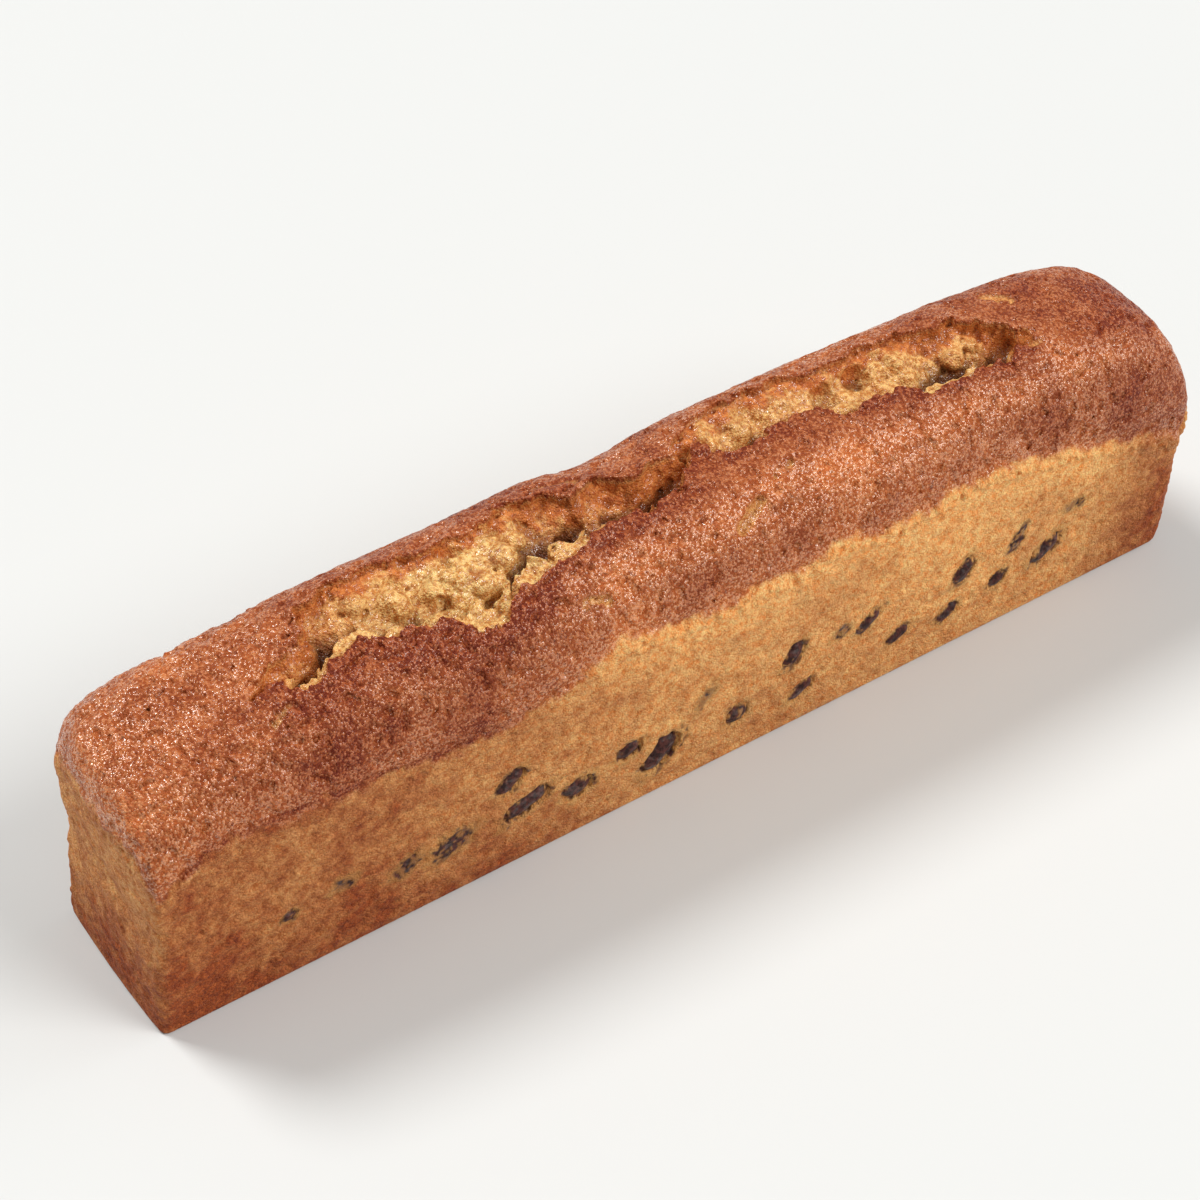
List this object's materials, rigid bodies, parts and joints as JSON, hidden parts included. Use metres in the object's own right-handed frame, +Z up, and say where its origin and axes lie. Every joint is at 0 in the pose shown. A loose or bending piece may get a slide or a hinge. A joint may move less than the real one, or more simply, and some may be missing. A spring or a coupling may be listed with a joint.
{
  "type": "pound cake",
  "caption": "Long slim tin-baked loaf cake with tapered golden sides, a domed brown crust and a torn crack along its crown.",
  "frame": {"origin": "centre of the flat base, on the surface that the loaf rests on", "axes": "+X along the length towards the end with the long slope, +Y across to the back long side, +Z up; the raisins show in the long side that faces -Y"},
  "size_m": [0.25, 0.044, 0.0665],
  "materials": {
    "crust": "baked cake: brown fine-grained crust with a satin sheen on the dome, matte golden pored sides, pale torn crumb in the crack, dark raisins in the long side"
  },
  "bodies": {
    "root": {"pound_cake": "crust"}
  },
  "joints": []
}
